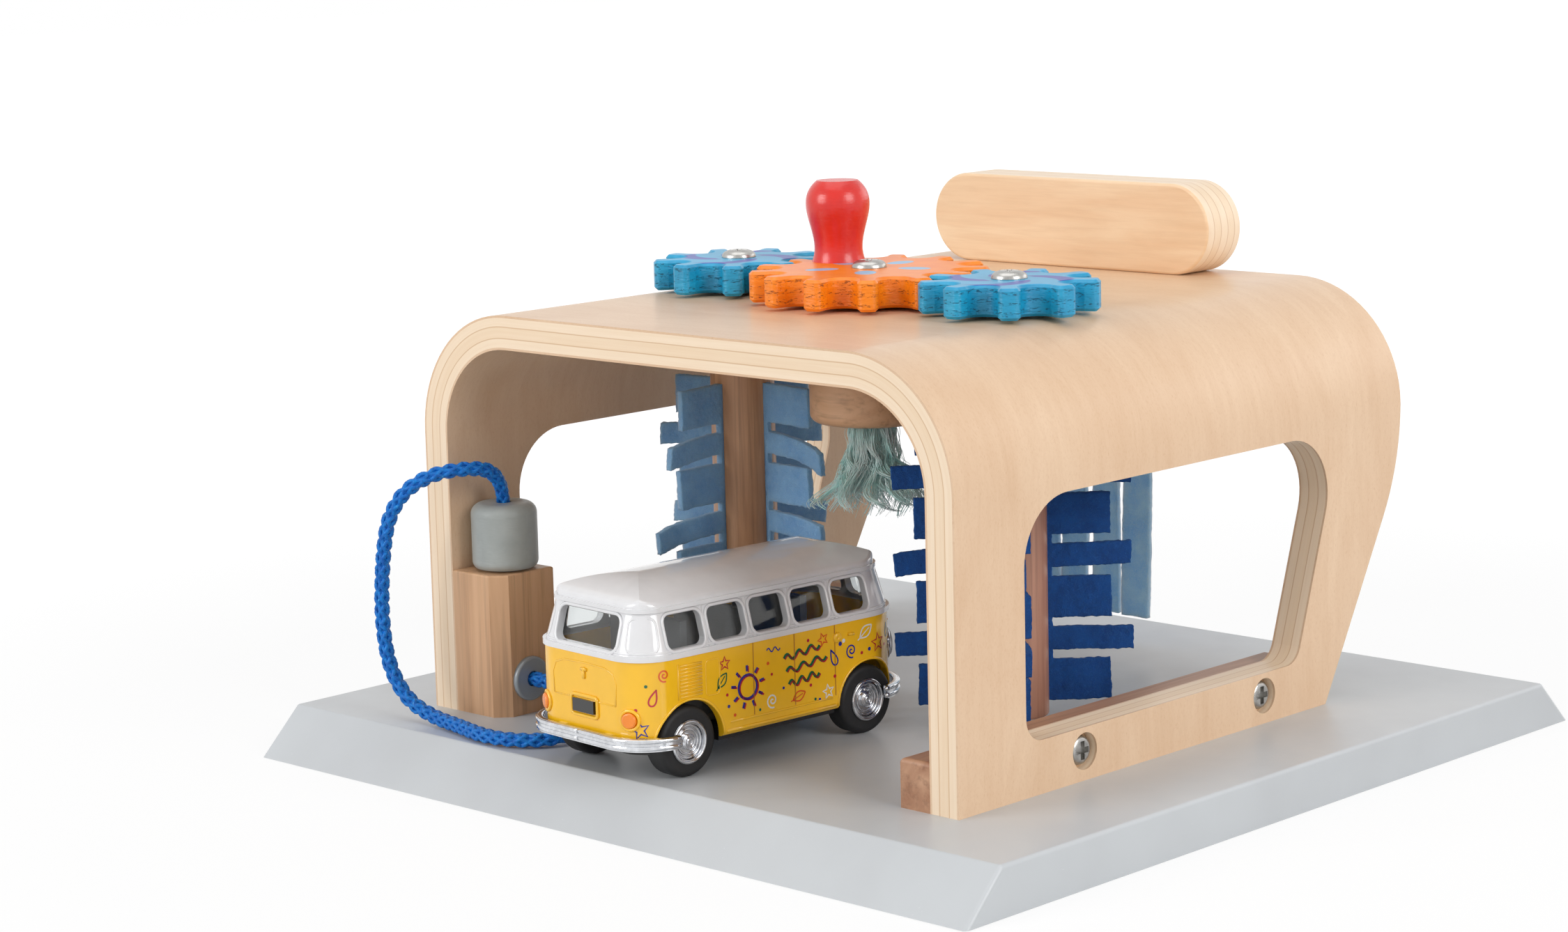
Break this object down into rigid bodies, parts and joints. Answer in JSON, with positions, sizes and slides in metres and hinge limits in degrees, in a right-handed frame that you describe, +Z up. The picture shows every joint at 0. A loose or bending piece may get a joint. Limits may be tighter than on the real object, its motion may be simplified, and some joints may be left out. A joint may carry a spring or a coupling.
{
  "type": "toy car wash playset",
  "caption": "Wooden toy car wash: bent plywood tunnel on a ramped board, hand-cranked gears that spin felt brushes and a mop, roped spray nozzle, curtain and toy minibus.",
  "frame": {"origin": "centre of the base board's underside", "axes": "+X across the lane to the right seen from the entrance, +Y along the lane from the entrance to the exit, +Z up"},
  "size_m": [0.168, 0.167, 0.1012],
  "materials": {
    "painted_board": "painted light grey, satin",
    "bent_plywood": "clear lacquered bent plywood, satin",
    "hardwood_cleat": "bare hardwood, matte",
    "steel_screw": "zinc plated",
    "grey_gland": "moulded grey",
    "blue_rope": "braided cord",
    "grey_paint": "painted grey, satin",
    "dark_dowel": "oiled dark hardwood, matte",
    "light_felt": "felt, light blue",
    "dark_felt": "felt, dark blue",
    "blue_paint": "painted blue plywood, satin",
    "orange_paint": "painted orange plywood, satin",
    "red_paint": "painted red, semi-gloss",
    "clear_washer": "natural plastic",
    "beech_drum": "bare beech, matte",
    "mint_yarn": "glossy polyester yarn",
    "bus_yellow": "gloss enamel",
    "bus_white": "gloss enamel",
    "clear_glazing": "clear plastic insert",
    "grey_interior": "moulded",
    "black_base": "moulded black",
    "bright_chrome": "vacuum plated",
    "orange_lamp": "painted orange",
    "clear_lamp": "silvered",
    "tyre_rubber": "black rubber"
  },
  "bodies": {
    "playset": {"base_board": "painted_board", "board_screws": "steel_screw", "tunnel_arch": "bent_plywood", "arch_screws": "steel_screw", "left_rail": "hardwood_cleat", "right_rail": "hardwood_cleat", "nozzle_block": "hardwood_cleat", "rope_plug": "grey_gland", "hose_rope": "blue_rope", "sign_board": "bent_plywood", "sign_screws": "steel_screw", "curtain_batten": "hardwood_cleat", "curtain_strips": "light_felt", "gear_washers": "clear_washer"},
    "crank": {"drive_gear": "orange_paint", "crank_knob": "red_paint", "knob_screw": "steel_screw", "drive_gear_screw": "steel_screw", "mop_drum": "beech_drum", "mop_yarn": "mint_yarn"},
    "left_brush": {"left_brush_gear": "blue_paint", "left_gear_screw": "steel_screw", "left_brush_post": "dark_dowel", "left_felt_comb_1": "light_felt", "left_felt_comb_2": "light_felt", "left_felt_comb_3": "light_felt", "left_felt_comb_4": "light_felt"},
    "right_brush": {"right_brush_gear": "blue_paint", "right_gear_screw": "steel_screw", "right_brush_post": "dark_dowel", "right_felt_comb_1": "dark_felt", "right_felt_comb_2": "dark_felt", "right_felt_comb_3": "dark_felt", "right_felt_comb_4": "dark_felt"},
    "nozzle": {"nozzle_body": "grey_paint", "nozzle_pin": "grey_paint"},
    "bus": {"bus_lower_body": "bus_yellow", "bus_upper_body": "bus_white", "bus_glazing": "clear_glazing", "bus_seats": "grey_interior", "bus_chassis": "black_base", "bus_front_bumper": "bright_chrome", "bus_rear_bumper": "bright_chrome", "bus_headlamps": "clear_lamp", "bus_rear_lamps": "orange_lamp", "bus_rear_plate": "black_base"},
    "bus_front_wheels": {"bus_front_axle": "steel_screw", "bus_front_tyres": "tyre_rubber", "bus_front_hubs": "bright_chrome"},
    "bus_rear_wheels": {"bus_rear_axle": "steel_screw", "bus_rear_tyres": "tyre_rubber", "bus_rear_hubs": "bright_chrome"}
  },
  "joints": [
    {"name": "crank_turn", "type": "hinge", "parent": "playset", "child": "crank", "pos_m": [0, -0.01, 0.0841], "axis": [0, 0, 1], "continuous": true},
    {"name": "left_brush_turn", "type": "hinge", "parent": "playset", "child": "left_brush", "pos_m": [-0.032, -0.01, 0.0841], "axis": [0, 0, 1], "continuous": true},
    {"name": "right_brush_turn", "type": "hinge", "parent": "playset", "child": "right_brush", "pos_m": [0.032, -0.01, 0.0841], "axis": [0, 0, 1], "continuous": true},
    {"name": "nozzle_lift", "type": "slide", "parent": "playset", "child": "nozzle", "axis": [0, 0, 1], "range_m": [0, 0.0168], "deforming": ["hose_rope"]},
    {"name": "bus_roll", "type": "slide", "parent": "playset", "child": "bus", "axis": [0.0698, 0.9976, 0], "range_m": [-0.008, 0.062], "deforming": ["left_felt_comb_1", "left_felt_comb_2", "left_felt_comb_3", "left_felt_comb_4", "right_felt_comb_1", "right_felt_comb_2", "right_felt_comb_3", "right_felt_comb_4"]},
    {"name": "bus_front_wheel_turn", "type": "hinge", "parent": "bus", "child": "bus_front_wheels", "pos_m": [-0.00059, -0.0263, 0.01435], "axis": [0.9976, -0.0698, 0], "continuous": true},
    {"name": "bus_rear_wheel_turn", "type": "hinge", "parent": "bus", "child": "bus_rear_wheels", "pos_m": [-0.00341, -0.0667, 0.01435], "axis": [0.9976, -0.0698, 0], "continuous": true}
  ],
  "couplings": [
    {"joint": "left_brush_turn", "follows": "crank_turn", "ratio": -1.4444},
    {"joint": "right_brush_turn", "follows": "crank_turn", "ratio": -1.4444},
    {"joint": "bus_front_wheel_turn", "follows": "bus_roll", "rad_per_m": -166.67},
    {"joint": "bus_rear_wheel_turn", "follows": "bus_roll", "rad_per_m": -166.67}
  ]
}
